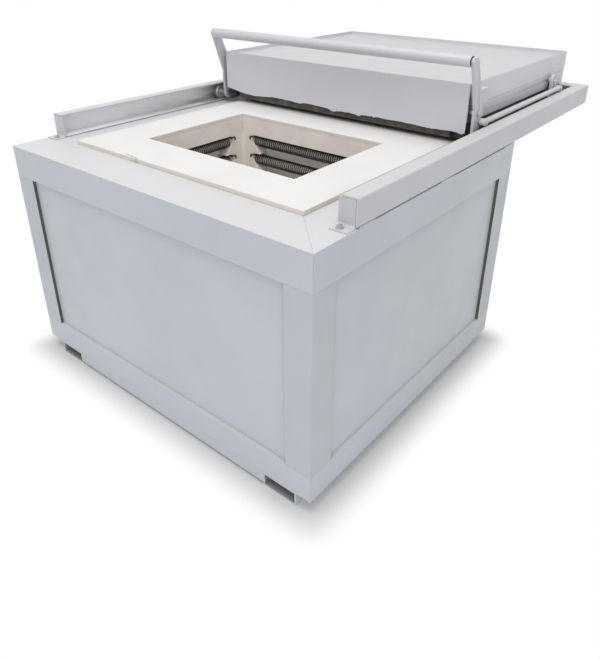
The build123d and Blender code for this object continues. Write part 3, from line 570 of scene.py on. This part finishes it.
def mesh_object(name, points, faces, slot, body, smooth=False):
    """A new mesh piece, riding on a body."""
    mesh = bpy.data.meshes.new(name)
    mesh.from_pydata(points, [], faces)
    mesh.validate()
    mesh.update()
    for face in mesh.polygons:
        face.use_smooth = smooth
    obj = bpy.data.objects.new(name, mesh)
    bpy.context.scene.collection.objects.link(obj)
    set_material(obj, slot)
    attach(obj, body)
    return obj


def tube_along(path, radius, sides):
    """Vertices and faces of a closed tube round a path of points."""
    points, faces = [], []
    count = len(path)
    normal = Vector((0, 0, 1))
    for i, place in enumerate(path):
        along = (path[min(i + 1, count - 1)] - path[max(i - 1, 0)]).normalized()
        normal = (normal - along * normal.dot(along)).normalized()
        across = along.cross(normal)
        for k in range(sides):
            angle = math.tau * k / sides
            points.append(place + (normal * math.cos(angle) + across * math.sin(angle)) * radius)
    for i in range(count - 1):
        for k in range(sides):
            a, b = i * sides + k, i * sides + (k + 1) % sides
            faces.append((a, b, b + sides, a + sides))
    faces.append(tuple(reversed(range(sides))))
    faces.append(tuple(range((count - 1) * sides, count * sides)))
    return points, faces


def coil_path(half_length, half_turns_length):
    """Centre line of a close coil about X, with straight leads near its top at both ends."""
    turns = round(2 * half_turns_length / TURN_PITCH)
    steps = turns * STEPS_PER_TURN
    path = [Vector((-half_length, 0, COIL_RADIUS))]
    for i in range(steps + 1):
        angle = math.tau * turns * i / steps
        x = -half_turns_length + 2 * half_turns_length * i / steps
        path.append(Vector((x, COIL_RADIUS * math.sin(angle), COIL_RADIUS * math.cos(angle))))
    path.append(Vector((half_length, 0, COIL_RADIUS)))
    return path


def hook_path(half, sign):
    """A lead's bare end: out of the brick by a coil's end, back along its face, and down."""
    out = COIL_RADIUS + WIRE_RADIUS + HOOK_GAP
    x = sign * (half - LEAD * HOOK_START)
    corners = [
        Vector((x, 0, COIL_RADIUS)),
        Vector((x, out, COIL_RADIUS)),
        Vector((x + sign * HOOK_OUT, out, COIL_RADIUS + HOOK_RISE)),
        Vector((x + sign * HOOK_OUT, out, COIL_RADIUS - HOOK_DROP)),
    ]
    path = [corners[0]]
    for i in (1, 2):
        before, here, after = corners[i - 1], corners[i], corners[i + 1]
        start = here + (before - here).normalized() * HOOK_BEND
        end = here + (after - here).normalized() * HOOK_BEND
        for k in range(BEND_STEPS + 1):
            t = k / BEND_STEPS
            path.append(start * (1 - t) ** 2 + here * 2 * t * (1 - t) + end * t**2)
    return path + [corners[3]]


def close_coils(node, along_x):
    """Stands close-wound coils in the places of one node's open ones, with hooked lead ends."""
    low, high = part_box(node)
    span = high - low
    half = (span.x if along_x else span.y) / 2
    pitch = (span.z - 2 * (COIL_RADIUS + WIRE_RADIUS)) / (ROWS - 1)
    middle = (low + high) / 2
    shapes = [tube_along(coil_path(half, half - LEAD), WIRE_RADIUS, WIRE_SIDES)]
    shapes += [tube_along(hook_path(half, sign), HOOK_RADIUS, WIRE_SIDES) for sign in (-1, 1)]
    reach = (span.y if along_x else span.x) / 2 - COIL_RADIUS - WIRE_RADIUS
    all_points, all_faces = [], []
    for row in range(ROWS):
        z = high.z - COIL_RADIUS - WIRE_RADIUS - pitch * row
        for side in (-1, 1):
            offset = Vector((0, side * reach, 0)) if along_x else Vector((side * reach, 0, 0))
            place = Vector((middle.x, middle.y, z)) + offset
            for points, faces in shapes:
                base = len(all_points)
                for p in points:
                    along, inward = p.x, -side * p.y
                    x, y = (along, inward) if along_x else (inward, along)
                    all_points.append(Vector((x, y, p.z)) + place)
                flipped = (side > 0) == along_x
                for f in faces:
                    face = [base + i for i in f]
                    all_faces.append(face[::-1] if flipped else face)
    obj = mesh_object(node + "_close", all_points, all_faces, "element_wire", "casing", smooth=True)
    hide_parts(node)


def corner_toes():
    """The corner bricks widen downward to sloping toes under the coils' ends."""
    low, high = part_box("corner_bricks")
    height = (high.z - low.z) / ROWS
    half, near_edge, far_edge = MOUTH
    middle = (near_edge + far_edge) / 2 - FRONT_TO_ORIGIN
    reach = (far_edge - near_edge) / 2
    profile = ((-TOE_SUNK, 0.0), (TOE_LENGTH, 0.0), (-TOE_SUNK, TOE_HEIGHT))
    wedge = ((0, 1, 2), (3, 5, 4), (0, 3, 4, 1), (1, 4, 5, 2), (2, 5, 3, 0))
    points, faces = [], []
    for row in range(ROWS):
        z = low.z + height * row
        for sx in (-1, 1):
            for sy in (-1, 1):
                for along_x in (True, False):
                    base = len(points)
                    for out in (TOE_SET_BACK, SLOT_DEPTH):
                        for along, up in profile:
                            if along_x:
                                x, y = half - CORNER_LEGS[0] - along, reach + out
                            else:
                                x, y = half + out, reach - CORNER_LEGS[1] - along
                            points.append((sx * x, middle + sy * y, z + up))
                    flipped = (sx * sy > 0) == along_x
                    for f in wedge:
                        face = [base + i for i in f]
                        faces.append(face[::-1] if flipped else face)
    obj = mesh_object("corner_toes", points, faces, "brick", "casing")
    ease_edges(obj, EASED["brick"])


def tear_depth(x):
    """How far the torn edge hangs below the lip at one place across the lid."""
    depth = 0.0
    for (x0, d0), (x1, d1) in zip(TEAR, TEAR[1:]):
        if x0 <= x <= x1:
            depth = d0 + (d1 - d0) * (x - x0) / (x1 - x0)
    rough = sum(height * noise.noise(Vector((x * rate, row, 0))) for height, rate, row in TEAR_ROUGH)
    return max(TEAR_LEAST, depth + rough)


def lip_height(x):
    """Height of the CAD panel's lower edge at one place across the lid."""
    rise = max(0.0, abs(x) - LIP_END) / (LID_HALF - LIP_END)
    return LIP_HEIGHT + rise * CORNER_RISE


def torn_edge():
    """The front panel's lower edge is torn: a ragged strip of coated sheet hangs below its lip."""
    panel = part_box("lid_cover")[0].y
    left, right = TEAR[0][0], TEAR[-1][0]
    front, back = (panel + depth for depth in TEAR_SHEET)
    points, faces = [], []
    for i in range(TEAR_STEPS + 1):
        x = left + (right - left) * i / TEAR_STEPS
        top = lip_height(x) + TEAR_OVERLAP
        bottom = LIP_HEIGHT - tear_depth(x)
        points += [(x, front, top), (x, front, bottom), (x, back, bottom), (x, back, top)]
    for i in range(TEAR_STEPS):
        a = 4 * i
        for k in range(4):
            faces.append((a + k, a + (k + 1) % 4, a + 4 + (k + 1) % 4, a + 4 + k))
    faces += [(3, 2, 1, 0), tuple(4 * TEAR_STEPS + k for k in range(4))]
    obj = mesh_object("lid_torn_edge", points, faces, "casing_paint", "lid")
    obj.data.materials[0] = OWN_FINISH["lid_cover"]


# Floor, light and camera


def seen_directly(tree):
    """One for rays from the camera or a mirror, and zero for light on its way to the object."""
    paths = tree.nodes.new("ShaderNodeLightPath")
    seen = tree.nodes.new("ShaderNodeMath")
    seen.operation = "ADD"
    seen.use_clamp = True
    tree.links.new(paths.outputs["Is Camera Ray"], seen.inputs[0])
    tree.links.new(paths.outputs["Is Glossy Ray"], seen.inputs[1])
    return seen.outputs["Value"]


def between(tree, value, low, high):
    """A value between two bounds, by a factor from 0 to 1."""
    made = tree.nodes.new("ShaderNodeMapRange")
    made.inputs["To Min"].default_value = low
    made.inputs["To Max"].default_value = high
    tree.links.new(value, made.inputs["Value"])
    return made


def outside_footprint(tree):
    """The distance on the floor from the casing's footprint."""
    value = tree.nodes.new("ShaderNodeTexCoord").outputs["Object"]
    middle, half = FOOTPRINT
    for operation, operand in (
        ("SUBTRACT", middle),
        ("ABSOLUTE", None),
        ("SUBTRACT", half),
        ("MAXIMUM", (0, 0, 0)),
        ("LENGTH", None),
    ):
        step = tree.nodes.new("ShaderNodeVectorMath")
        step.operation = operation
        tree.links.new(value, step.inputs[0])
        if operand is not None:
            step.inputs[1].default_value = operand
        value = step.outputs["Value" if operation == "LENGTH" else "Vector"]
    return value


def floor_finish():
    """Pale and matt near the casing, with its shadow and a painted shadow from a darker seen colour,
    and plain white further away.
    """
    material = bpy.data.materials.new("floor")
    material.use_nodes = True
    tree = material.node_tree
    tree.nodes.clear()
    seen = seen_directly(tree)
    diffuse = tree.nodes.new("ShaderNodeBsdfDiffuse")
    shown = between(tree, seen, FLOOR_COLOUR, FLOOR_PAINTED_SHADOW)
    tree.links.new(shown.outputs["Result"], diffuse.inputs["Color"])
    glow = tree.nodes.new("ShaderNodeEmission")
    glow.inputs["Color"].default_value = (1, 1, 1, 1)
    fade = between(tree, outside_footprint(tree), 1 - SHADOW_DEPTH, 1.0)
    fade.interpolation_type = "SMOOTHSTEP"
    fade.inputs["From Max"].default_value = SHADOW_REACH
    white = tree.nodes.new("ShaderNodeMath")
    white.operation = "MULTIPLY"
    tree.links.new(fade.outputs["Result"], white.inputs[0])
    tree.links.new(seen, white.inputs[1])
    mix = tree.nodes.new("ShaderNodeMixShader")
    tree.links.new(white.outputs["Value"], mix.inputs["Fac"])
    tree.links.new(diffuse.outputs["BSDF"], mix.inputs[1])
    tree.links.new(glow.outputs["Emission"], mix.inputs[2])
    output = tree.nodes.new("ShaderNodeOutputMaterial")
    tree.links.new(mix.outputs["Shader"], output.inputs["Surface"])
    return material


def floor():
    """A pale floor that takes the soft shadow and fades to white away from the object."""
    mesh = bpy.data.meshes.new("floor")
    size = FLOOR_HALF
    corners = [(-size, -size, 0), (size, -size, 0), (size, size, 0), (-size, size, 0)]
    mesh.from_pydata(corners, [], [(0, 1, 2, 3)])
    obj = bpy.data.objects.new("floor", mesh)
    bpy.context.scene.collection.objects.link(obj)
    mesh.materials.append(floor_finish())


def world():
    """Even light from all round; the camera sees white."""
    made = bpy.data.worlds.new("studio")
    bpy.context.scene.world = made
    made.use_nodes = True
    tree = made.node_tree
    background = tree.nodes["Background"]
    background.inputs["Color"].default_value = (1, 1, 1, 1)
    level = between(tree, seen_directly(tree), WORLD_LIGHT, 1.0)
    tree.links.new(level.outputs["Result"], background.inputs["Strength"])


def lamp(name, azimuth, elevation, power):
    """A large area lamp that looks at the object's middle."""
    light = bpy.data.lights.new(name, "AREA")
    light.shape = "DISK"
    light.size = LAMP_SIZE
    light.energy = power
    obj = bpy.data.objects.new(name, light)
    bpy.context.scene.collection.objects.link(obj)
    a, e = math.radians(azimuth), math.radians(elevation)
    towards = Vector((math.sin(a) * math.cos(e), -math.cos(a) * math.cos(e), math.sin(e)))
    obj.location = Vector(LAMP_TARGET) + towards * LAMP_DISTANCE
    obj.rotation_euler = towards.to_track_quat("Z", "Y").to_euler()


def camera():
    """The photograph's viewpoint."""
    data = bpy.data.cameras.new("camera")
    data.lens = CAMERA_LENS
    data.sensor_width = 36
    data.shift_x, data.shift_y = CAMERA_SHIFT
    data.clip_end = 200
    obj = bpy.data.objects.new("camera", data)
    bpy.context.scene.collection.objects.link(obj)
    tilt = math.radians(90 - CAMERA_ELEVATION)
    obj.matrix_world = (
        Matrix.Translation(CAMERA_PLACE)
        @ Euler((tilt, 0, math.radians(CAMERA_AZIMUTH)), "XYZ").to_matrix().to_4x4()
        @ Matrix.Rotation(math.radians(CAMERA_ROLL), 4, "Z")
    )
    bpy.context.scene.camera = obj


dress_nodes()
close_coils("heating_coils_long", True)
close_coils("heating_coils_short", False)
corner_toes()
torn_edge()
floor()
world()
for placed in LAMPS:
    lamp(*placed)
camera()
bpy.context.scene.view_settings.view_transform = "Standard"
